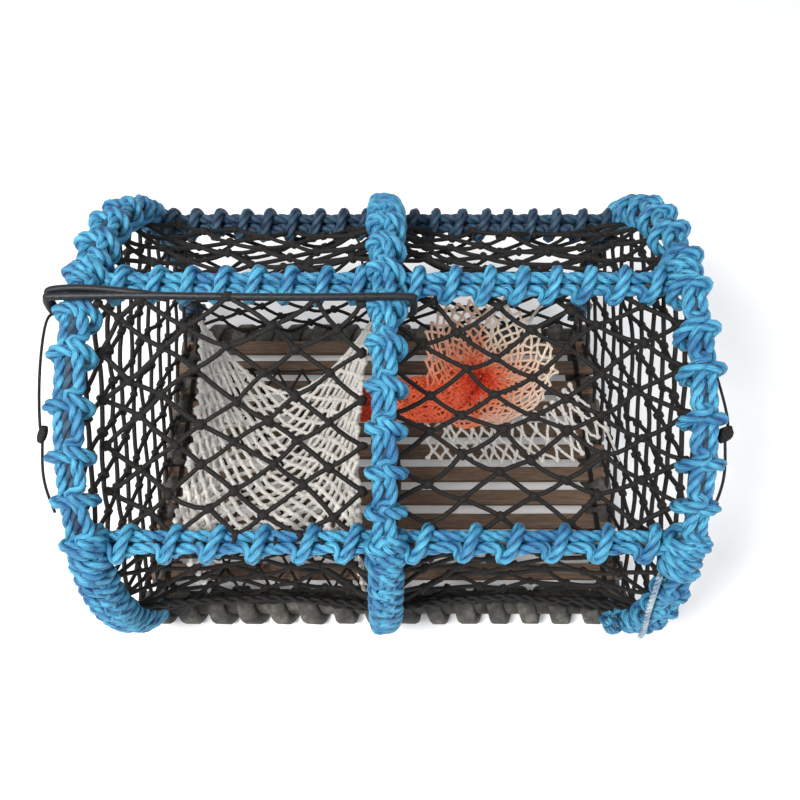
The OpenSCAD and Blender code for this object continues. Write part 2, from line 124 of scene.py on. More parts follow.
def floor_finish():
    sh = Shading("pale_floor")
    ray = sh.add("ShaderNodeLightPath")
    mirror = sh.add("ShaderNodeMath", {0: ray.outputs["Is Camera Ray"],
                                       1: ray.outputs["Is Glossy Ray"]}, operation="ADD")
    seen = sh.add("ShaderNodeMath", {0: mirror.outputs[0], 1: ray.outputs["Is Transmission Ray"]},
                  operation="ADD", use_clamp=True)
    pale = sh.add("ShaderNodeBsdfDiffuse", {"Color": (0.9, 0.9, 0.9, 1)})
    lift = sh.add("ShaderNodeMath", {0: seen.outputs[0], 1: 0.15}, operation="MULTIPLY")
    white = sh.add("ShaderNodeEmission", {"Color": (1, 1, 1, 1), "Strength": lift.outputs[0]})
    both = sh.add("ShaderNodeAddShader", {0: pale.outputs[0], 1: white.outputs[0]})
    return sh.finish(both.outputs[0])


def mesh_piece(name, bm, material):
    """Turns a bmesh into an object at the origin with smooth faces and one material."""
    mesh = bpy.data.meshes.new(name)
    bm.to_mesh(mesh)
    bm.free()
    mesh.materials.append(material)
    piece = bpy.data.objects.new(name, mesh)
    scene.collection.objects.link(piece)
    return piece


floor_bm = bmesh.new()
bmesh.ops.create_grid(floor_bm, x_segments=1, y_segments=1, size=6)
floor = mesh_piece("floor", floor_bm, floor_finish())


# Steel frame
# Three bent hoops welded to a base of round bar, with three rails along them. The bar is plain
# mild steel, dull and lightly rusted, and shows only where the rope and rubber leave it bare.
def object_place(sh, scale=(1, 1, 1), turn=(0, 0, 0)):
    place = sh.add("ShaderNodeTexCoord")
    return sh.add("ShaderNodeMapping", {"Vector": place.outputs["Object"], "Scale": scale,
                                        "Rotation": turn}).outputs[0]


def noise(sh, place, scale, detail=3.0, rough=0.55):
    return sh.add("ShaderNodeTexNoise", {"Vector": place, "Scale": scale, "Detail": detail,
                                         "Roughness": rough}).outputs["Fac"]


def ramp(sh, value, *stops):
    """Colours by value: each stop is a place from 0 to 1 and a linear colour."""
    node = sh.add("ShaderNodeValToRGB", {"Fac": value})
    elements = node.color_ramp.elements
    while len(elements) < len(stops):
        elements.new(0.5)
    for element, (place, colour) in zip(elements, stops):
        element.position = place
        element.color = (*colour, 1)
    return node.outputs["Color"]


def blend_colours(sh, factor, first, second, how="MIX"):
    node = sh.add("ShaderNodeMix", {"Factor": factor}, data_type="RGBA", blend_type=how)
    for socket, value in ((node.inputs[6], first), (node.inputs[7], second)):
        if isinstance(value, bpy.types.NodeSocket):
            sh.tree.links.new(value, socket)
        else:
            socket.default_value = (*value, 1)
    return node.outputs[2]


def between(sh, value, low, high):
    return sh.add("ShaderNodeMapRange", {"Value": value, "To Min": low, "To Max": high}).outputs[0]


def bump(sh, height, depth, strength=1.0, under=None):
    links = {"Height": height, "Distance": depth, "Strength": strength}
    if under is not None:
        links["Normal"] = under
    return sh.add("ShaderNodeBump", links).outputs["Normal"]


def steel_finish():
    sh = Shading("bare_steel")
    place = object_place(sh)
    rust = noise(sh, place, 90, 5)
    fine = noise(sh, place, 700, 3)
    colour = ramp(sh, rust, (0.42, (0.19, 0.19, 0.19)), (0.56, (0.10, 0.075, 0.06)),
                  (0.68, (0.16, 0.055, 0.02)))
    shader = sh.add("ShaderNodeBsdfPrincipled", {
        "Base Color": colour, "Metallic": 0.65, "Roughness": between(sh, rust, 0.35, 0.8),
        "Normal": bump(sh, fine, 0.0003)})
    return sh.finish(shader.outputs[0])


steel = steel_finish()
steel_nodes = ["base_bars", "base_cross_bar", "left_hoop", "middle_hoop", "right_hoop",
               "front_rail", "top_rail", "back_rail"]
for node_name in steel_nodes:
    nodes[node_name].data.materials.clear()
    nodes[node_name].data.materials.append(steel)


# Blue rope
# Three-strand polypropylene rope of 12 mm. Low on the back it is drawn in a darker copy of the
# blue, as painted shade. One length is laid along each hoop and rail, and a second is hitched
# round it turn by turn, so that the bars are covered and the nets have an edge.
rope_d = 0.012
strand_r = 0.275 * rope_d
strand_out = rope_d / 2 - strand_r
rope_lay = 3.3 * rope_d
rope_step = 0.0032
rod_r = 0.005
rail_r = 0.004
base_z = 0.0175
hoop_r = 0.236
end_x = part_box("right_hoop")[1].x - rod_r
hoop_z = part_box("middle_hoop")[1].z - rod_r - hoop_r
foot_angle = -math.asin((hoop_z - base_z) / hoop_r)
chance = random.Random(7)


def rail_middle(node_name):
    """Where a rail crosses the middle of the trap."""
    low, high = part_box(node_name)
    return Vector((0, (low.y + high.y) / 2, (low.z + high.z) / 2))


front_rail = rail_middle("front_rail")
top_rail = rail_middle("top_rail")
back_rail = Vector((0, -front_rail.y, front_rail.z))


def rope_finish(name, dark, mid, light):
    """Fibres run along each strand, by its own map in metres along and round it. The grooves between
    the strands are darkened with painted shade, and their crests and pale fibre streaks are a painted
    highlight."""
    sh = Shading(name)
    strand = sh.add("ShaderNodeUVMap", uv_map="UVMap")
    along = sh.add("ShaderNodeMapping", {"Vector": strand.outputs[0], "Scale": (110, 1500, 1),
                                         "Rotation": (0, 0, 0.2)}).outputs[0]
    fibre = noise(sh, along, 1.0, 4, 0.7)
    broad = noise(sh, object_place(sh), 45, 2)
    out = sh.add("ShaderNodeAttribute", attribute_name="out").outputs["Fac"]
    # Painted shade where out is low, in the grooves, and a painted highlight on the crests
    crest_highlight = tuple(0.6 * a + 0.4 * b for a, b in zip(mid, light))
    body = ramp(sh, out, (0.66, dark), (0.84, mid), (0.97, crest_highlight))
    # Pale streaks along the fibres in the highlight colour are a painted highlight
    highlight_streak = ramp(sh, fibre, (0.49, (0, 0, 0)), (0.62, (1, 1, 1)))
    colour = blend_colours(sh, highlight_streak, body, light)
    shade = ramp(sh, fibre, (0.30, (0.35, 0.42, 0.55)), (0.46, (1, 1, 1)))
    colour = blend_colours(sh, 1.0, colour, shade, "MULTIPLY")
    patch = ramp(sh, broad, (0.36, (0.42, 0.50, 0.66)), (0.58, (1, 1, 1)))
    colour = blend_colours(sh, 1.0, colour, patch, "MULTIPLY")
    shader = sh.add("ShaderNodeBsdfPrincipled", {
        "Base Color": colour, "Roughness": between(sh, fibre, 0.6, 0.35), "Specular IOR Level": 0.5,
        "Normal": bump(sh, fibre, 0.0010, 1.0)})
    return sh.finish(shader.outputs[0])


# Each rope's first colour is painted shade for its grooves, and its last is a painted highlight
blue_rope = rope_finish("blue_rope", (0.001, 0.010, 0.045), (0.008, 0.150, 0.36), (0.14, 0.60, 0.78))
# A darker copy of the blue rope, painted shade for the back rail and the low back of the hoops
shaded_blue_rope = rope_finish("shaded_blue_rope", (0.001, 0.004, 0.012), (0.006, 0.022, 0.055), (0.05, 0.14, 0.22))


def smooth_line(keys, steps=7):
    """A smooth curve through the keys, as an array of points."""
    keys = np.asarray(keys, float)
    line = np.vstack([2 * keys[0] - keys[1], keys, 2 * keys[-1] - keys[-2]])
    t = np.linspace(0, 1, steps, endpoint=False)[:, None]
    parts = []
    for a, b, c, d in zip(line[:-3], line[1:-2], line[2:-1], line[3:]):
        parts.append(0.5 * (2 * b + (c - a) * t + (2 * a - 5 * b + 4 * c - d) * t ** 2
                            + (3 * b - a - 3 * c + d) * t ** 3))
    return np.vstack(parts + [keys[-1:]])


def even_steps(line, step):
    """The same line with its points a step apart."""
    run = np.concatenate([[0], np.cumsum(np.linalg.norm(np.diff(line, axis=0), axis=1))])
    count = max(2, int(run[-1] / step) + 1)
    at = np.linspace(0, run[-1], count)
    return np.column_stack([np.interp(at, run, line[:, i]) for i in range(3)])


def strands_of(line, lay, out, count=3, turn=0.0):
    """The strands that lie round a line, each as its own line."""
    ahead = np.gradient(line, axis=0)
    ahead /= np.linalg.norm(ahead, axis=1)[:, None] + 1e-12
    side = np.zeros_like(line)
    first = np.cross(ahead[0], (0.31, 0.52, 0.79))
    side[0] = first / np.linalg.norm(first)
    for i in range(1, len(line)):
        flat = side[i - 1] - ahead[i] * side[i - 1].dot(ahead[i])
        side[i] = flat / (np.linalg.norm(flat) + 1e-12)
    other = np.cross(ahead, side)
    run = np.concatenate([[0], np.cumsum(np.linalg.norm(np.diff(line, axis=0), axis=1))])
    strands = []
    for k in range(count):
        a = (2 * math.pi * (run / lay + k / count) + turn)[:, None]
        strands.append(line + out * (np.cos(a) * side + np.sin(a) * other))
    return strands


def tubes(name, lines, radius, material, round_steps=2):
    """Round tubes along lines, as one mesh whose map runs in metres along and round each tube."""
    curve = bpy.data.curves.new(name, "CURVE")
    curve.dimensions = "3D"
    curve.bevel_depth = radius
    curve.bevel_resolution = round_steps
    curve.use_fill_caps = True
    for line in lines:
        spline = curve.splines.new("POLY")
        spline.points.add(len(line) - 1)
        spline.points.foreach_set("co", np.column_stack([line, np.ones(len(line))]).ravel())
    maker = bpy.data.objects.new(name, curve)
    scene.collection.objects.link(maker)
    mesh = bpy.data.meshes.new_from_object(maker.evaluated_get(bpy.context.evaluated_depsgraph_get()))
    bpy.data.objects.remove(maker)
    bpy.data.curves.remove(curve)
    lengths = [np.linalg.norm(np.diff(line, axis=0), axis=1).sum() for line in lines]
    flat = np.zeros(len(mesh.loops) * 2)
    layer = mesh.uv_layers[0]
    layer.name = "UVMap"
    layer.data.foreach_get("uv", flat)
    flat = flat.reshape(-1, 2)
    flat *= (float(np.mean(lengths)), 2 * math.pi * radius)
    layer.data.foreach_set("uv", flat.ravel())
    mesh.shade_smooth()
    mesh.materials.clear()
    mesh.materials.append(material)
    piece = bpy.data.objects.new(name, mesh)
    scene.collection.objects.link(piece)
    return piece


def rope_piece(name, lines, material, d=rope_d):
    """Three-strand rope along each line, with each point's distance from its middle kept as out."""
    strands, middles = [], []
    for line in lines:
        even = even_steps(line, rope_step * d / rope_d)
        strands += strands_of(even, rope_lay * d / rope_d, strand_out * d / rope_d,
                              turn=chance.uniform(0, 6))
        middles += list(even)
    piece = tubes(name, strands, strand_r * d / rope_d, material)
    tree = kdtree.KDTree(len(middles))
    for i, middle in enumerate(middles):
        tree.insert(middle, i)
    tree.balance()
    far = [tree.find(v.co)[2] / (d / 2) for v in piece.data.vertices]
    piece.data.attributes.new("out", "FLOAT", "POINT").data.foreach_set("value", far)
    return piece


def round_hoop(x):
    """Places a point by its angle up the hoop, its angle round the rod and its reach from it."""
    def place(keys):
        angle, turn, reach = keys[:, 0], keys[:, 1], keys[:, 2]
        far = hoop_r + reach * np.cos(turn)
        return np.column_stack([x + reach * np.sin(turn), far * np.cos(angle),
                                hoop_z + far * np.sin(angle)])
    return place


def round_rail(middle, face):
    """Places a point by x, its angle round the rail from the face the camera sees, and its reach."""
    def place(keys):
        x, turn, reach = keys[:, 0], keys[:, 1], keys[:, 2]
        outward, upward = np.cos(turn), np.sin(turn)
        y = middle.y + reach * (outward * math.cos(face) + upward * math.sin(face))
        z = middle.z + reach * (outward * math.sin(face) - upward * math.cos(face))
        return np.column_stack([x, y, z])
    return place


def hitches(start, end, pitch, unit, run_at, lay_at, near, over, bulge=0.72):
    """One rope that runs along a bar and takes a hitch round it, and round the laid rope, at each
    pitch. unit is how much of the bar's own measure makes a metre."""
    count = max(1, round((end - start) / (pitch * unit)))
    gap = (end - start) / count
    keys = [(start, run_at, near)]
    for k in range(count):
        at = start + gap * (k + 0.5) + chance.uniform(-0.05, 0.05) * gap
        lean = chance.uniform(0.85, 1.15)
        swing = chance.uniform(-0.1, 0.1)
        base = run_at + 2 * math.pi * k
        # One hitch: each key's place along the gap, its turn round the bar and its reach
        hitch = [(-0.30, -0.25, near), (-0.19 * lean, -1.0, over - 0.002), (-0.09 * lean, -0.75, over),
                 (0.02, 0.0, over), (0.14 * lean, 0.8, over), (0.22 * lean, 1.6, near + 0.001),
                 (0.20, 2.5, near), (0.14, 3.4, near), (0.04, 4.3, near), (0.02, 5.0, near),
                 (0.12, 5.7, near)]
        for along, turn, reach in hitch:
            keys.append((at + along * gap, base + turn + swing, reach))
    keys.append((end, run_at + 2 * math.pi * count, near))
    line = smooth_line(keys)
    apart = (line[:, 1] - lay_at + math.pi) % (2 * math.pi) - math.pi
    lift = np.exp(-(apart / 0.55) ** 2) * rope_d * bulge
    line[:, 2] = np.maximum(line[:, 2], near + lift)
    return line


def laid(start, end, at, near, steps=60):
    """Rope laid straight along a bar, with a little wander."""
    s = np.linspace(start, end, steps)
    wander = np.array([chance.uniform(-0.07, 0.07) for _ in s])
    return np.column_stack([s, at + wander, np.full(steps, near)])


def whipping(start, end, turns, reach, back=True):
    """Close turns along a bar and back over themselves, with the ends tucked in."""
    out = [(start, 0.0, reach * 0.6)]
    for i in range(turns * 6 + 1):
        f = i / (turns * 6)
        out.append((start + (end - start) * f, 2 * math.pi * turns * f + 0.3, reach))
    if back:
        top = reach + rope_d * 0.4
        spin = out[-1][1]
        for i in range(turns * 6 - 5):
            f = (i + 1) / (turns * 6 - 5)
            out.append((end + (start - end) * f * 0.95, spin + 2 * math.pi * (turns - 1) * f, top))
    last = out[-1]
    out.append((last[0], last[1] + 0.8, reach * 0.6))
    return smooth_line(out, 5)


hoop_near = rod_r + rope_d / 2
hoop_over = hoop_near + 0.004
per_metre = 1 / hoop_r
back_angle = math.atan2(back_rail.z - hoop_z, back_rail.y)
top_angle = math.atan2(top_rail.z - hoop_z, top_rail.y)
front_angle = math.pi - back_angle
foot_gap = math.radians(6)
half = math.radians(5)
back_foot = foot_angle + foot_gap
front_foot = math.pi - foot_angle - foot_gap
blue_from = back_angle - half
close_from = front_angle + 0.02
bundle_end = math.radians(62)
# Each hoop: its x, the side of its plain rope, how far the two ropes are turned apart, the pitch of
# its hitches, and their closer pitch below the front rail
hoops = {
    "left": (-end_x, 1, 1.05, 0.043, 0.0175),
    "middle": (0.0, 1, 0.70, 0.036, 0.0165),
    "right": (end_x, -1, 0.80, 0.041, 0.034),
}
for hoop_name, (x, turned, spread, gap, close_gap) in hoops.items():
    place = round_hoop(x)
    blue_lines = [place(laid(blue_from, front_foot, -turned * spread, hoop_near))]
    # The low back of each hoop, and a core rope laid on the rod between its two strands, are in the
    # darker copy of the blue rope as painted shade
    shaded_lines = [place(laid(back_foot, blue_from, -turned * spread, hoop_near)),
                  place(laid(back_foot, front_foot, 0.0, hoop_near - 0.004))]
    stretches = [(back_foot, blue_from, gap, hoop_over, 0.6, shaded_lines),
                 (blue_from, close_from, gap, hoop_over, 0.72, blue_lines),
                 (close_from, front_foot, close_gap, hoop_near + 0.002, 0.45, blue_lines)]
    for start, end, pitch, over, bulge, lines in stretches:
        hitch_line = hitches(start, end, pitch, per_metre, 0.0, -2 * spread, hoop_near, over, bulge)
        hitch_line[:, 1] += spread
        hitch_line[:, 1] *= turned
        lines.append(place(hitch_line))
    piece = rope_piece(f"{hoop_name}_hoop_rope_strands", blue_lines, blue_rope)
    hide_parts(f"{hoop_name}_hoop_rope", f"{hoop_name}_hoop_hitches")
    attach(piece, "trap")
    piece = rope_piece(f"{hoop_name}_hoop_dark_strands", shaded_lines, shaded_blue_rope)
    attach(piece, "trap")
    if hoop_name == "middle":
        wraps = [whipping(back_angle - half, bundle_end, 7, 0.0112),
                 whipping(front_angle - half, front_angle + half, 2, 0.0150, back=False)]
    else:
        wraps = [whipping(back_angle - half, back_angle + half, 3, 0.0140, back=False),
                 whipping(top_angle - half, top_angle + half / 2, 2, 0.0140, back=False),
                 whipping(front_angle - half, front_angle + half, 3, 0.0150, back=False)]
    wraps.append(whipping(front_foot - 2 * half, front_foot, 3, 0.0125, back=False))
    piece = rope_piece(f"{hoop_name}_whipping_strands", [place(wrap) for wrap in wraps], blue_rope)
    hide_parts(f"{hoop_name}_whippings")
    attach(piece, "trap")

rail_near = rail_r + rope_d / 2
rail_lay_at = 0.68
# The back rail's rope is the darker copy, as painted shade
rails = {"front": (front_rail, 0.040, blue_rope), "top": (top_rail, 0.034, blue_rope),
         "back": (back_rail, 0.030, shaded_blue_rope)}
for rail_name, (middle, gap, finish) in rails.items():
    to_camera = camera_place - middle
    place = round_rail(middle, math.atan2(to_camera.z, to_camera.y))
    for side_name, x0, x1 in (("left", -end_x + 0.012, -0.012), ("right", 0.012, end_x - 0.012)):
        lay_line = laid(x0, x1, rail_lay_at, rail_near, 40)
        hitch_line = hitches(x0, x1, gap, 1.0, -0.15, rail_lay_at, rail_near, rail_near + 0.0075)
        piece = rope_piece(f"{rail_name}_rope_{side_name}_strands",
                           [place(lay_line), place(hitch_line)], finish)
        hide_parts(f"{rail_name}_rope_{side_name}")
        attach(piece, "trap")


# Rubber wrapping
# Strips cut from old tyres are wound round each base bar, so that it doesn't wear on rock. The
# turns stand proud of the layer under them and are rubbed flat where the trap rests.
base_y = -front_rail.y
under_r = 0.0140
strip_r = 0.0205
strip_w = 0.023
strip_pitch = 0.038
spin_steps = 24


def rubber_finish():
    sh = Shading("rubber_strip")
    place = object_place(sh)
    dust = noise(sh, place, 55, 5, 0.65)
    scuff = noise(sh, object_place(sh, (1, 1, 1), (0.3, 0.2, 0.5)), 420, 4, 0.7)
    colour = ramp(sh, dust, (0.35, (0.022, 0.020, 0.018)), (0.52, (0.060, 0.056, 0.048)),
                  (0.70, (0.15, 0.14, 0.12)))
    shader = sh.add("ShaderNodeBsdfPrincipled", {
        "Base Color": colour, "Roughness": between(sh, scuff, 0.55, 0.85),
        "Normal": bump(sh, scuff, 0.0006, 0.7, bump(sh, dust, 0.0015, 0.5))})
    return sh.finish(shader.outputs[0])


rubber = rubber_finish()


def wound_bar(name, node, length, turn, middle, hand, tall=1.0, wide=1.0):
    """A layer of rubber along X with a strip wound over it, turned and moved to its bar. tall
    stretches its upper half, where the strip goes over the ends of the floor slats too, and wide
    its outer half, where the turns hang slack."""
    bm = bmesh.new()
    half = length / 2
    bmesh.ops.create_circle(bm, cap_ends=True, radius=under_r, segments=20)
    bmesh.ops.rotate(bm, verts=bm.verts, matrix=Matrix.Rotation(math.pi / 2, 3, "Y"))
    bmesh.ops.translate(bm, verts=bm.verts, vec=(-half, 0, 0))
    core = bmesh.ops.extrude_face_region(bm, geom=bm.faces[:])["geom"]
    far = [v for v in core if isinstance(v, bmesh.types.BMVert)]
    bmesh.ops.translate(bm, verts=far, vec=(length, 0, 0))
    section = [(0, under_r - 0.002), (0.001, strip_r - 0.0014), (0.0035, strip_r - 0.0003),
               (strip_w - 0.0035, strip_r), (strip_w - 0.001, strip_r - 0.0012),
               (strip_w, under_r - 0.002)]
    corners = [bm.verts.new((-half + along, 0, out)) for along, out in section]
    edges = [bm.edges.new(pair) for pair in zip(corners, corners[1:] + corners[:1])]
    turns = (length - strip_w) / strip_pitch
    steps = int(turns * spin_steps)
    bmesh.ops.spin(bm, geom=corners + edges, cent=(0, 0, 0), axis=(hand, 0, 0),
                   angle=2 * math.pi * turns, steps=steps,
                   dvec=(strip_pitch * turns / steps, 0, 0))
    bmesh.ops.holes_fill(bm, edges=bm.edges)
    for v in bm.verts:
        swell = 1 + 0.05 * noise_field.noise(v.co * 28 + middle * 9)
        swell += 0.02 * noise_field.noise(v.co * 120)
        v.co.y *= swell
        v.co.z *= swell
        v.co.x += 0.004 * noise_field.noise(v.co * 22 + middle * 5)
        if v.co.z > 0:
            v.co.z *= tall
        if v.co.y < 0 and math.hypot(v.co.y, v.co.z) > under_r * 1.15:
            v.co.y *= wide
    bmesh.ops.rotate(bm, verts=bm.verts, matrix=Matrix.Rotation(turn, 3, "Z"))
    bmesh.ops.translate(bm, verts=bm.verts, vec=middle)
    for v in bm.verts:
        v.co.z = max(v.co.z, 0.0002 * abs(noise_field.noise(v.co * 60)))
    bmesh.ops.recalc_face_normals(bm, faces=bm.faces)
    piece = mesh_piece(name, bm, rubber)
    piece.data.shade_smooth()
    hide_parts(node)
    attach(piece, "trap")


long_rubber = 2 * end_x + 2 * strip_r - 0.004
cross_rubber = 2 * base_y - 2 * strip_r
wound_bar("front_rubber_strip", "front_rubber", long_rubber, 0, Vector((0, -base_y, base_z)), 1,
          wide=1.3)
wound_bar("back_rubber_strip", "back_rubber", long_rubber, 0, Vector((0, base_y, base_z)), -1)
over_slats = (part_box("floor_slat_1")[1].z + 0.004 - base_z) / strip_r
cross_bars = [("left", -end_x, over_slats), ("middle", 0.0, 1.0), ("right", end_x, over_slats)]
for side_name, x, tall in cross_bars:
    wound_bar(f"{side_name}_rubber_strip", f"{side_name}_rubber", cross_rubber, math.pi / 2,
              Vector((x, 0, base_z)), 1, tall)


# Floor slats
# Eleven sawn battens of weathered hardwood lie along the trap on the base bars. Each keeps the
# marks of the saw, has its arrises worn round, and is a little different in width and twist.
def wood_finish():
    sh = Shading("slat_wood")
    grain = noise(sh, object_place(sh, (7, 90, 90)), 4, 6, 0.7)
    pores = noise(sh, object_place(sh, (40, 700, 700)), 1.5, 3, 0.6)
    stain = noise(sh, object_place(sh), 14, 3)
    colour = ramp(sh, grain, (0.3, (0.085, 0.050, 0.032)), (0.5, (0.19, 0.12, 0.075)),
                  (0.7, (0.30, 0.20, 0.13)))
    dark = blend_colours(sh, between(sh, stain, 0.0, 0.9), (1, 1, 1), (0.45, 0.42, 0.4))
    colour = blend_colours(sh, 1.0, colour, dark, "MULTIPLY")
    shader = sh.add("ShaderNodeBsdfPrincipled", {
        "Base Color": colour, "Roughness": between(sh, grain, 0.65, 0.85),
        "Normal": bump(sh, pores, 0.0005, 0.6, bump(sh, grain, 0.0012, 0.7))})
    return sh.finish(shader.outputs[0])


wood = wood_finish()
slats = [name for name in sorted(nodes) if name.startswith("floor_slat_")]
for slat_name in slats:
    low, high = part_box(slat_name)
    size = high - low
    bm = bmesh.new()
    bmesh.ops.create_cube(bm, size=1)
    bmesh.ops.scale(bm, verts=bm.verts, vec=size)
    long_edges = [e for e in bm.edges if abs(e.verts[0].co.x - e.verts[1].co.x) > size.x / 2]
    bmesh.ops.bevel(bm, geom=long_edges, offset=0.0016, segments=2, profile=0.5, affect="EDGES",
                    material=-1)
    long_edges = [e for e in bm.edges if abs(e.verts[0].co.x - e.verts[1].co.x) > size.x / 2]
    bmesh.ops.subdivide_edges(bm, edges=long_edges, cuts=40, use_grid_fill=True)
    shift = chance.uniform(0, 50)
    for v in bm.verts:
        v.co.y *= 1 + 0.05 * noise_field.noise(Vector((v.co.x * 9 + shift, 0, 0)))
        v.co.z += 0.0006 * noise_field.noise(Vector((v.co.x * 25 + shift, v.co.y * 90, v.co.z * 90)))
    bmesh.ops.translate(bm, verts=bm.verts, vec=(low + high) / 2)
    piece = mesh_piece(f"{slat_name}_batten", bm, wood)
    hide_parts(slat_name)
    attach(piece, "trap")


# Slat lashings
# Each batten is bound down at the three base bars by three close turns of thin black twine, drawn
# tight over its worn corners.
def twine_finish(name, dark, light, gloss=0.7, shine=0.5):
    sh = Shading(name)
    strand = sh.add("ShaderNodeUVMap", uv_map="UVMap")
    twist = sh.add("ShaderNodeMapping", {"Vector": strand.outputs[0], "Scale": (700, 500, 1),
                                         "Rotation": (0, 0, 0.7)}).outputs[0]
    fibre = noise(sh, twist, 1.0, 3, 0.6)
    colour = ramp(sh, fibre, (0.35, dark), (0.7, light))
    shader = sh.add("ShaderNodeBsdfPrincipled", {
        "Base Color": colour, "Roughness": gloss, "Specular IOR Level": shine,
        "Normal": bump(sh, fibre, 0.0005, 0.8)})
    return sh.finish(shader.outputs[0])


black_twine = twine_finish("black_netting", (0.005, 0.005, 0.005), (0.030, 0.027, 0.025), 0.75, 0.2)
knot_bm = bmesh.new()
bmesh.ops.create_uvsphere(knot_bm, u_segments=6, v_segments=5, radius=1, calc_uvs=True)
knot_shape = bpy.data.meshes.new("knot_shape")
knot_bm.to_mesh(knot_shape)
knot_bm.free()
knot_shape.shade_smooth()


def net_piece(name, lines, radius, material, body, replaced=(), knots=(), knot_r=0.0,
              round_steps=1):
    """Twine of one radius along the lines, with a knot at each of the knots' places, as one piece.
    replaced names the nodes that it stands for."""
    piece = tubes(name, lines, radius, material, round_steps)
    if knots:
        bm = bmesh.new()
        bm.from_mesh(piece.data)
        for spot in knots:
            turn = Matrix.Rotation(chance.uniform(0, 3), 4, (0.3, 0.4, 0.8))
            stretch = (chance.uniform(0.95, 1.35), chance.uniform(0.8, 1.1), chance.uniform(0.75, 1.0))
            place = Matrix.Translation(spot) @ turn @ Matrix.Diagonal((*stretch, 1 / knot_r)) * knot_r
            knot_shape.transform(place)
            bm.from_mesh(knot_shape)
            knot_shape.transform(place.inverted())
        bm.to_mesh(piece.data)
        bm.free()
    if replaced:
        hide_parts(*replaced)
    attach(piece, body)
    return piece


low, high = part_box("slat_lashings")
half_tie = 0.002
first_x, last_x = low.x + half_tie, high.x - half_tie
off_slat = 0.0012
lashing_r = 0.0011
tie_lines = []
for slat_name in slats:
    a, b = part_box(slat_name)
    for x in (first_x, (first_x + last_x) / 2 + 0.012, last_x):
        loops = []
        for i in range(3 * 8 + 1):
            f = 2 * math.pi * i / 8
            y = ((b.y - a.y) / 2 + off_slat) * max(-1, min(1, 1.25 * math.cos(f)))
            z = ((b.z - a.z) / 2 + off_slat) * max(-1, min(1, 1.25 * math.sin(f)))
            loops.append((x + (i / 24 - 0.5) * 0.006, (a.y + b.y) / 2 + y, (a.z + b.z) / 2 + z))
        tie_lines.append(smooth_line(loops, 2))
net_piece("slat_lashing_twine", tie_lines, lashing_r, black_twine, "trap",
          ["slat_lashings"], round_steps=0)


# Black netting
# Hand-knotted diamond netting in 5 mm twine. Each panel is laced to the hoops and rails, so it
# follows the hoops at its ends and is pulled flatter between them.
mesh_x = 0.060
mesh_y = 0.044
twine_r = 0.0025
knot_r = 0.0052


def net_lines(spot, columns, rows, sag=0.05, wander=0.003, bend=0.03, steps=4):
    """Diamond mesh on a surface: spot(u, v) places a point for u and v from 0 to 1. sag and bend
    are parts of a mesh bar's length, and wander is how far its knots are out of place."""
    places = {}
    for j in range(rows + 1):
        odd = j % 2
        for i in range(columns + 1 - odd):
            u, v = (i + 0.5 * odd) / columns, j / rows
            free = 0.0 if j in (0, rows) or u in (0.0, 1.0) else wander
            push = Vector([chance.gauss(0, 1) for _ in range(3)]) * free
            places[i, j] = Vector(spot(u, v)) + push
    lines = []
    for (i, j), start in places.items():
        for di in ((-1, 0) if j % 2 == 0 else (0, 1)):
            end = places.get((i + di, j + 1))
            if end is None:
                continue
            run = end - start
            slack = Vector([chance.gauss(0, bend) for _ in range(3)])
            drop = Vector((0, 0, -sag * run.length)) + slack * run.length
            lines.append([start + run * t + drop * (4 * t * (1 - t))
                          for t in np.linspace(0, 1, steps)])
    return lines, list(places.values())


def panel_spot(x0, x1, a, b, angle_a, angle_b, hold, dip):
    """A panel between two bars a and b: at its ends it follows the hoop by hold, and dips between."""
    def spot(u, v):
        chord = a.lerp(b, v)
        angle = angle_a + (angle_b - angle_a) * v
        arc = Vector((0, math.cos(angle), math.sin(angle))) * (hoop_r - 0.012) + Vector((0, 0, hoop_z))
        tied = abs(2 * u - 1) ** 3 * hold
        place = chord.lerp(arc, tied)
        outward = Vector((0, place.y, place.z - hoop_z)).normalized()
        place -= outward * dip * math.sin(math.pi * v) * (1 - tied)
        place.x = x0 + (x1 - x0) * u
        return place
    return spot


left_bay = (-end_x + 0.006, -0.006)
right_bay = (0.006, end_x - 0.006)
net_foot = base_z + strip_r - 0.002
front_base = Vector((0, -base_y, net_foot))
back_base = Vector((0, base_y, net_foot))
back_foot_angle = foot_angle + 0.1
front_foot_angle = math.pi - foot_angle - 0.1
under_rail = front_rail + Vector((0, 0.010, -0.007))
panels = {
    "top_net": (right_bay, front_rail, top_rail, front_angle, top_angle),
    "crown_net_left": (left_bay, top_rail, back_rail, top_angle, back_angle),
    "crown_net_right": (right_bay, top_rail, back_rail, top_angle, back_angle),
    "back_net_left": (left_bay, back_rail, back_base, back_angle, back_foot_angle),
    "back_net_right": (right_bay, back_rail, back_base, back_angle, back_foot_angle),
    "front_net_right": (right_bay, front_rail, front_base, front_angle, front_foot_angle),
    "front_net_left": (left_bay, under_rail, front_base, front_angle + 0.05, front_foot_angle),
}
for name, (bay, a, b, angle_a, angle_b) in panels.items():
    columns = round((bay[1] - bay[0]) / mesh_x)
    rows = 2 * round((b - a).length / mesh_y)
    spot = panel_spot(*bay, a, b, angle_a, angle_b, 1.0, 0.006)
    lines, knots = net_lines(spot, columns, rows)
    net_piece(name + "_twine", lines, twine_r, black_twine, "trap", [name], knots,
              knot_r)


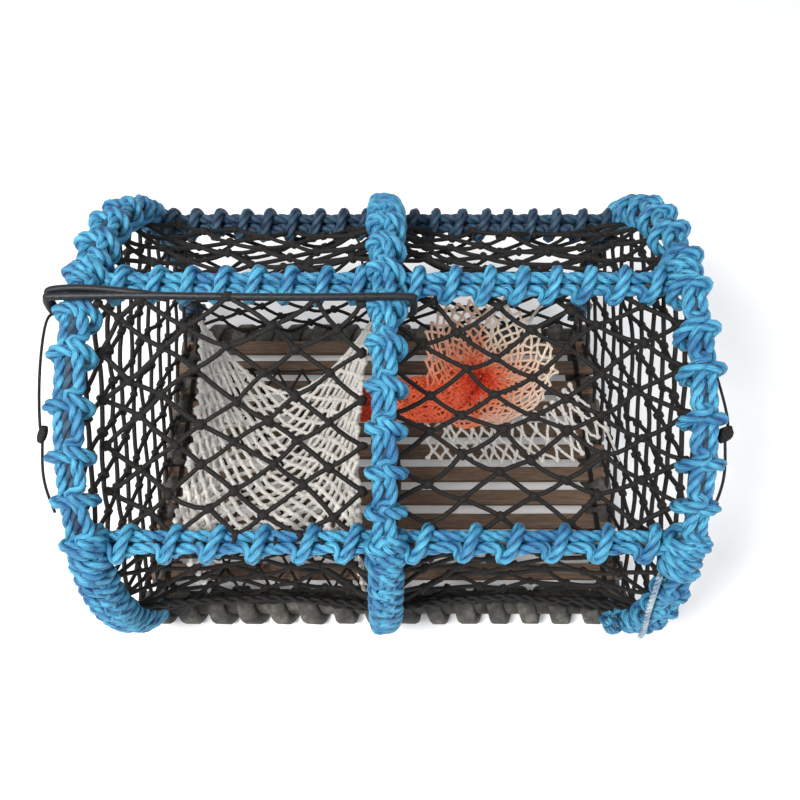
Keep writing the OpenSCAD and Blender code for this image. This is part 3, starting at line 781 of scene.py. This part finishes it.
# Front selvedge
# The lower edge of the front netting is drawn into ropes of doubled black twine, which are laced
# along the front just over the rubber.
selvedge_r = 0.0021
selvedge_lay = 0.030
selvedge_out = 0.0022
selvedge = []
for x0, x1 in (left_bay, right_bay):
    for k, height in enumerate((0.050, 0.066, 0.084, 0.104, 0.128)):
        angle = math.pi + math.asin((hoop_z - height) / hoop_r)
        slope = 0.010 if k % 2 else -0.006
        keys = []
        for t in np.linspace(0, 1, 9):
            y = (hoop_r - 0.010) * math.cos(angle) + 0.010 * math.sin(math.pi * t)
            y += chance.uniform(-0.002, 0.002)
            z = height + slope * t + chance.uniform(-0.003, 0.003)
            keys.append((x0 + (x1 - x0) * t, y, z))
        line = even_steps(smooth_line(keys), 0.004)
        selvedge += strands_of(line, selvedge_lay, selvedge_out, 2, k)
net_piece("front_selvedge_twine", selvedge, selvedge_r, black_twine, "trap")


# End and partition netting
# Netting across each end hoop and the middle hoop, laced round its rope and drawn tight, with a
# slight belly. The middle one has a hole that the orange sleeve is sewn into.
def hoop_net(x, belly, hole=None):
    """Diamond netting inside a hoop: lines in two directions, cut at the hoop, floor and hole."""
    reach = hoop_r - 0.008
    centre = Vector((0, hoop_z))

    def inside(p):
        if p.y < net_foot or (p - centre).length > reach:
            return False
        return hole is None or (p - Vector(hole[:2])).length > hole[2]

    def lift(p):
        near_rim = 1 - min(1, ((p - centre).length / reach) ** 2)
        return Vector((x + belly * near_rim, p.x, p.y))

    places = {}
    columns, rows = 8, 18
    for j in range(rows + 1):
        for i in range(columns + 1):
            p = Vector(((i - columns / 2 + 0.5 * (j % 2)) * mesh_x, net_foot + j * mesh_y / 2))
            places[i, j] = p + Vector((chance.gauss(0, 1), chance.gauss(0, 1))) * (0.004 if j else 0.0)
    lines, knots = [], [lift(p) for p in places.values() if inside(p)]
    for (i, j), start in places.items():
        for di in ((-1, 0) if j % 2 == 0 else (0, 1)):
            end = places.get((i + di, j + 1))
            if end is None or not (inside(start) or inside(end)):
                continue
            a, b = (start, end) if inside(start) else (end, start)
            t = 1.0
            while t > 0.05 and not inside(a.lerp(b, t)):
                t -= 0.04
            b = a.lerp(b, min(1.0, t + 0.04))
            push = Vector([chance.gauss(0, 0.02) for _ in range(3)]) * (b - a).length
            lines.append([lift(a.lerp(b, s)) + push * (4 * s * (1 - s))
                          for s in np.linspace(0, 1, 4)])
    return lines, knots


sleeve_hole = (0.030, 0.152, 0.022)
hoop_nets = [("left_end_net", -end_x, -0.008, None), ("right_end_net", end_x, 0.008, None),
             ("partition_net", 0.0, 0.004, sleeve_hole)]
for name, x, belly, hole in hoop_nets:
    lines, knots = hoop_net(x, belly, hole)
    net_piece(name + "_twine", lines, twine_r, black_twine, "trap", [name], knots,
              knot_r)


# Net door
# The panel over the entrance room opens on the front rail: it hangs there on cord loops, and an
# elastic cord in its free edge is stretched over the hoops to hold it shut.
bungee_r = 0.0035
bungee_low, bungee_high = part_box("bungee_cord")
bungee = Vector((0, bungee_low.y + bungee_r, bungee_high.z - bungee_r))
bungee_angle = math.atan2(bungee.z - hoop_z, bungee.y)
door_edge = front_rail + Vector((0, 0.004, 0.012))
door_spot = panel_spot(-end_x + 0.020, -0.022, door_edge, bungee, front_angle, bungee_angle,
                       0.3, 0.012)


def gathered(u, v):
    """The upper rows are drawn towards the ends of the elastic cord."""
    draw = 0.16 * v ** 4
    return door_spot(u - draw * math.sin(2 * math.pi * u) / 2, v)


lines, knots = net_lines(gathered, 4, 10, sag=0.03, wander=0.004)
net_piece("door_net_twine", lines, twine_r, black_twine, "door", ["door_net"], knots,
          knot_r)
elastic = twine_finish("elastic_cord", (0.004, 0.005, 0.006), (0.022, 0.025, 0.030), 0.45, 0.3)
x0, x1 = bungee_low.x + bungee_r, bungee_high.x - bungee_r
drop = bungee_high.z - bungee_low.z - bungee_r
y, z = bungee.y, bungee.z
# The cord from its left end to its right, then its second turn round the left end
cord_keys = [(x0, y, z - drop), (x0, y, z - 0.012), (x0 + 0.003, y, z - 0.003), (x0 + 0.012, y, z),
             (x0 + 0.09, y + 0.001, z), (-0.1, y, z - 0.001), (x1 - 0.012, y, z),
             (x1 - 0.003, y, z - 0.003), (x1, y, z - 0.012), (x1, y, z - drop)]
second_keys = [(x0 + 0.001, y + 0.004, z - drop), (x0 + 0.001, y + 0.006, z - 0.010),
               (x0 + 0.006, y + 0.008, z - 0.001), (x0 + 0.04, y + 0.009, z),
               (x0 + 0.09, y + 0.003, z), (x0 + 0.11, y, z - 0.003)]
net_piece("bungee_cord_elastic", [smooth_line(cord_keys), smooth_line(second_keys)], bungee_r,
          elastic, "door", ["bungee_cord"], round_steps=3)
loops_low, loops_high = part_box("door_loops")
loop_r = (loops_high.z - loops_low.z) / 2 - 0.0035
loop_cord_r = 0.0018
loop_count = 5
loop_lines = []
for k in range(loop_count):
    x = loops_low.x + 0.002 + (loops_high.x - loops_low.x - 0.004) * k / (loop_count - 1)
    loop_lines.append([(x + 0.005 * math.sin(a + k), front_rail.y + loop_r * math.cos(a),
                        front_rail.z + loop_r * math.sin(a)) for a in np.linspace(0, 2 * math.pi, 25)])
net_piece("door_loop_twine", loop_lines, loop_cord_r, black_twine, "door",
          ["door_loops"])


# Entrance eye
# A funnel of netting leads in from the front, small-meshed and white over a coarser lower wall,
# which is drawn in black twine as painted shade under the upper wall. Its throat is stretched back
# to two corners by black ties, so the upper lip hangs between them in a deep curve.
white_twine = twine_finish("white_netting", (0.52, 0.49, 0.45), (0.86, 0.83, 0.78), 0.6)
eye_twine_r, eye_knot_r = 0.0024, 0.0040
floor_twine_r, floor_knot_r = 0.0017, 0.0034
eye_low = Vector((-0.212, -0.190, 0.058))
eye_high = Vector((-0.026, -0.186, 0.243))
throat_left = Vector((-0.224, 0.100, 0.200))
throat_right = Vector((-0.016, 0.104, 0.200))
throat_low_left = Vector((-0.205, 0.080, 0.128))
throat_low_right = Vector((-0.045, 0.082, 0.126))
lip_dip_y, lip_dip_z = 0.028, 0.152


def eye_top(u, v):
    """The upper wall. Its meshes are drawn towards both edges, and it sags between them."""
    u -= 0.35 * math.sin(2 * math.pi * u) / (2 * math.pi)
    start = Vector((eye_low.x, eye_high.y, eye_high.z)).lerp(eye_high, u)
    corner = throat_left.lerp(throat_right, u)
    hang = 1 - abs(2 * u - 1) ** 1.7
    lip = corner.lerp(Vector((corner.x, lip_dip_y, lip_dip_z)), hang)
    place = start.lerp(lip, v)
    waist = 1 - 0.10 * math.sin(math.pi * v)
    middle_x = (eye_low.x + eye_high.x) / 2
    place.x = middle_x + (place.x - middle_x) * waist
    place.z -= 0.030 * math.sin(math.pi * v) * (1 - abs(2 * u - 1) ** 2)
    return place


def eye_floor(u, v):
    start = eye_low.lerp(Vector((eye_high.x, eye_low.y, eye_low.z)), u)
    lip = throat_low_left.lerp(throat_low_right, u)
    place = start.lerp(lip, v)
    place.z -= 0.012 * math.sin(math.pi * u) * v
    return place


def eye_side(high_spot, low_spot, pull):
    def spot(u, v):
        place = Vector(low_spot(v)).lerp(Vector(high_spot(v)), u)
        place.x += pull * math.sin(math.pi * u) * math.sin(math.pi * min(1, v + 0.1))
        return place
    return spot


eye_walls = [(eye_top, 13, 26),
             (eye_side(lambda v: eye_top(0, v), lambda v: eye_floor(0, v), 0.008), 5, 18),
             (eye_side(lambda v: eye_top(1, v), lambda v: eye_floor(1, v), -0.008), 5, 18)]
lines, knots = [], []
for spot, columns, rows in eye_walls:
    wall_lines, wall_knots = net_lines(spot, columns, rows, sag=0.02, wander=0.0009, steps=3)
    lines += wall_lines
    knots += wall_knots
rim_lines = []
for v in (0, 1):
    rim_lines.append([eye_top(u, v) for u in np.linspace(0, 1, 16)])
net_piece("entrance_eye_netting", lines + rim_lines, eye_twine_r, white_twine, "trap",
          ["entrance_eye"], knots, eye_knot_r)
# The lower wall is black as painted shade, for it lies in shadow under the upper wall
lines, knots = net_lines(eye_floor, 5, 10, sag=0.02, wander=0.0009, steps=3)
for v in (0, 1):
    lines.append([eye_floor(u, v) for u in np.linspace(0, 1, 16)])
net_piece("entrance_eye_floor_twine", lines, floor_twine_r, black_twine, "trap",
          knots=knots, knot_r=floor_knot_r)
tie_lines = []
for corner, x in ((throat_left, -end_x + 0.035), (throat_right, -0.035)):
    end = Vector((x, back_rail.y - 0.004, back_rail.z - 0.006))
    middle = corner.lerp(end, 0.5) - Vector((0, 0, 0.004))
    tie_lines.append(even_steps(np.array([corner, middle, end]), 0.01))
net_piece("eye_tie_twine", tie_lines, 0.0015, black_twine, "trap", ["eye_ties"],
          [throat_left, throat_right], 0.004)


# Parlour eye
# An orange net tube is sewn into the partition and runs into the parlour, where it is drawn to a
# throat and then flares into a net hung from the top rail, with a white net sewn to its rim. The
# orange is darkened to red with painted shade at the throat and behind the partition, and pales to
# peach towards the fan's rim as a painted highlight.
def orange_finish():
    sh = Shading("orange_netting")
    depth = sh.add("ShaderNodeAttribute", attribute_name="depth").outputs["Fac"]
    strand = sh.add("ShaderNodeUVMap", uv_map="UVMap")
    twist = sh.add("ShaderNodeMapping", {"Vector": strand.outputs[0], "Scale": (600, 500, 1),
                                         "Rotation": (0, 0, 0.7)}).outputs[0]
    fibre = noise(sh, twist, 1.0, 3, 0.6)
    # Painted shade in dark red where depth is low and a painted highlight in pale peach where it is
    # high; the orange between is the net's own colour
    colour = ramp(sh, depth, (0.0, (0.22, 0.010, 0.008)), (0.12, (0.60, 0.028, 0.012)),
                  (0.30, (0.83, 0.085, 0.022)), (0.50, (0.86, 0.24, 0.11)), (0.72, (0.84, 0.46, 0.32)),
                  (1.0, (0.82, 0.68, 0.54)))
    shader = sh.add("ShaderNodeBsdfPrincipled", {
        "Base Color": colour, "Roughness": 0.55, "Normal": bump(sh, fibre, 0.0004, 0.7)})
    return sh.finish(shader.outputs[0])


orange_twine = orange_finish()


def set_depth(piece, value):
    """Stores how far out from the throat each point lies, from 0 to 1."""
    layer = piece.data.attributes.new("depth", "FLOAT", "POINT")
    for v in piece.data.vertices:
        layer.data[v.index].value = value(v.co)


throat = Vector((0.114, 0.055, 0.150))
# The tube's middle from the entrance side to the throat, and its radius at each of these places
tube_path = [Vector((-0.030, 0.018, 0.148)), Vector((0.0, 0.024, 0.151)), Vector((0.035, 0.020, 0.152)),
             Vector((0.068, 0.022, 0.150)), Vector((0.094, 0.038, 0.150)), throat]
tube_r = [0.022, 0.022, 0.024, 0.027, 0.022, 0.007]


def tube_spot(u, v):
    at = v * (len(tube_path) - 1)
    k = min(int(at), len(tube_path) - 2)
    centre = tube_path[k].lerp(tube_path[k + 1], at - k)
    radius = tube_r[k] + (tube_r[k + 1] - tube_r[k]) * (at - k)
    a = 2 * math.pi * u
    radius *= 1 + 0.10 * math.sin(5 * a + 9 * v)
    return centre + Vector((0, radius * math.cos(a), radius * math.sin(a)))


lines, knots = net_lines(tube_spot, 36, 44, sag=0.0, wander=0.0012, bend=0.05, steps=3)
sleeve = net_piece("parlour_sleeve_netting", lines, 0.0015, orange_twine, "trap",
                   ["parlour_sleeve"], knots, 0.0020)


def sleeve_depth(co):
    """Bright orange away from the throat, with painted shade in darker red towards the throat and
    behind the partition.
    """
    return 0.10 + 0.26 * min(1, (co - throat).length / 0.05) - (0.14 if co.x < 0 else 0)


set_depth(sleeve, sleeve_depth)
# The fan's rim, from its right side over its top to its left side and back underneath
fan_rim = [Vector((0.201, 0.048, 0.170)), Vector((0.188, 0.065, 0.205)), Vector((0.163, 0.074, 0.240)),
           Vector((0.128, 0.078, 0.262)), Vector((0.094, 0.079, 0.266)), Vector((0.064, 0.075, 0.258)),
           Vector((0.050, 0.063, 0.230)), Vector((0.052, 0.042, 0.190)), Vector((0.061, 0.009, 0.140)),
           Vector((0.097, -0.002, 0.130)), Vector((0.140, 0.005, 0.132)), Vector((0.183, 0.020, 0.145))]


def fan_spot(u, v):
    at = (u % 1) * len(fan_rim)
    k = int(at) % len(fan_rim)
    rim = fan_rim[k].lerp(fan_rim[(k + 1) % len(fan_rim)], at - int(at))
    out = rim - throat
    rise = v ** 1.15
    place = throat + out.normalized() * 0.006 + out * rise
    place += Vector((0, -0.016, 0.004)) * math.sin(math.pi * v)
    return place


lines, knots = net_lines(fan_spot, 30, 18, sag=0.0, wander=0.0014, bend=0.04, steps=3)
fan = net_piece("parlour_flare_netting", lines, 0.0016, orange_twine, "trap",
                ["parlour_flare"], knots, 0.0024)


def fan_depth(co):
    """Painted shade in red at the throat and a painted highlight in pale peach at the rim, which lies
    nearer on the right.
    """
    return 0.08 + 0.92 * min(1, (co - throat).length / (0.085 if co.x > throat.x else 0.14))


set_depth(fan, fan_depth)
# The two edges of the white net, from left to right: sewn to the fan, and free
skirt_top = [Vector((0.050, 0.000, 0.130)), Vector((0.103, -0.010, 0.128)),
             Vector((0.150, -0.004, 0.128)), Vector((0.200, 0.018, 0.138)),
             Vector((0.224, 0.036, 0.160))]
skirt_low = [Vector((0.052, -0.036, 0.104)), Vector((0.111, -0.040, 0.100)),
             Vector((0.166, -0.040, 0.100)), Vector((0.236, -0.038, 0.104)),
             Vector((0.268, -0.012, 0.136))]


def skirt_spot(u, v):
    at = u * (len(skirt_top) - 1)
    k = min(int(at), len(skirt_top) - 2)
    high = skirt_top[k].lerp(skirt_top[k + 1], at - k)
    low = skirt_low[k].lerp(skirt_low[k + 1], at - k)
    return high.lerp(low, v)


lines, knots = net_lines(skirt_spot, 15, 4, sag=0.02, wander=0.0018, bend=0.05, steps=3)
net_piece("flare_skirt_netting", lines, 0.0018, white_twine, "trap", knots=knots,
          knot_r=0.0034)
tie_lines, knots = [], []
tie_z = top_rail.z - 0.008
for spot, end in ((fan_rim[5], Vector((0.040, top_rail.y, tie_z))),
                  (fan_rim[3], Vector((0.118, top_rail.y, tie_z))),
                  (fan_rim[2], Vector((0.160, top_rail.y, tie_z))),
                  (skirt_low[4], Vector((end_x - 0.006, -0.060, 0.150)))):
    tie_lines.append([spot.lerp(end, t) for t in np.linspace(0, 1, 6)])
    knots.append(spot)
net_piece("flare_tie_twine", tie_lines, 0.0016, white_twine, "trap", ["flare_ties"],
          knots, 0.005)


# End knots
# A thin tail of black twine runs down outside each end hoop, the left one from the elastic cord,
# and is made fast there in a fat knot of three turns.
knot_low, knot_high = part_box("end_knots")
knot_angle = math.atan2((knot_low.z + knot_high.z) / 2 - hoop_z, (knot_low.y + knot_high.y) / 2)
turns, tails = [], []
for side, reach in ((-1, 0.027), (1, 0.023)):
    place = round_hoop(side * end_x)
    knot = Vector(place(np.array([[knot_angle, side * math.pi / 2, reach]]))[0])
    for tilt in (0.0, 1.1, 2.2):
        turns.append([knot + Vector((0.0034 * math.sin(a + tilt), 0.0046 * math.cos(a),
                                     0.0046 * math.sin(a + tilt * 0.7)))
                      for a in np.linspace(0, 2 * math.pi, 15)])
    start, low_by = (bungee_angle, 0) if side < 0 else (knot_angle - 0.28, 0.009)
    keys = [(start, side * math.pi / 2, reach - 0.002 - low_by),
            (start + 0.08, side * 1.5, reach + 0.003 - low_by),
            (knot_angle - 0.05, side * 1.55, reach + 0.002), (knot_angle, side * 1.57, reach),
            (knot_angle + 0.16, side * 1.5, reach + 0.001),
            (knot_angle + 0.30, side * 1.25, reach - 0.006)]
    tails.append(place(smooth_line(keys)))
net_piece("end_knot_twine", turns, 0.0024, black_twine, "trap", ["end_knots"],
          round_steps=2)
net_piece("end_knot_tail_twine", tails, 0.0014, black_twine, "trap")


# Bottom right cord
# A thin pale cord and a bight of blue rope are tied in at the right front foot. Both are
# three-strand, like the rest of the rope.
place = round_hoop(end_x)
foot = math.pi - foot_angle
# Painted shade in the grooves and a painted highlight on the crests, as for the blue rope
pale_rope = rope_finish("pale_cord", (0.05, 0.09, 0.11), (0.30, 0.42, 0.46), (0.70, 0.80, 0.84))
keys = [(front_angle + 0.10, -1.1, 0.022), (front_angle + 0.30, -0.9, 0.024),
        (front_angle + 0.50, -0.5, 0.023), (front_angle + 0.66, -0.1, 0.021)]
piece = rope_piece("right_foot_pale_cord", [place(smooth_line(keys))], pale_rope, 0.006)
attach(piece, "trap")
bights = [[(foot - 0.36, -1.5, 0.020), (foot - 0.24, -1.2, 0.022), (foot - 0.12, -1.0, 0.020)],
          [(foot - 0.36, -1.0, 0.022), (foot - 0.24, -0.8, 0.024), (foot - 0.12, -0.6, 0.022)]]
piece = rope_piece("right_foot_blue_bight", [place(smooth_line(keys)) for keys in bights], blue_rope)
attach(piece, "trap")
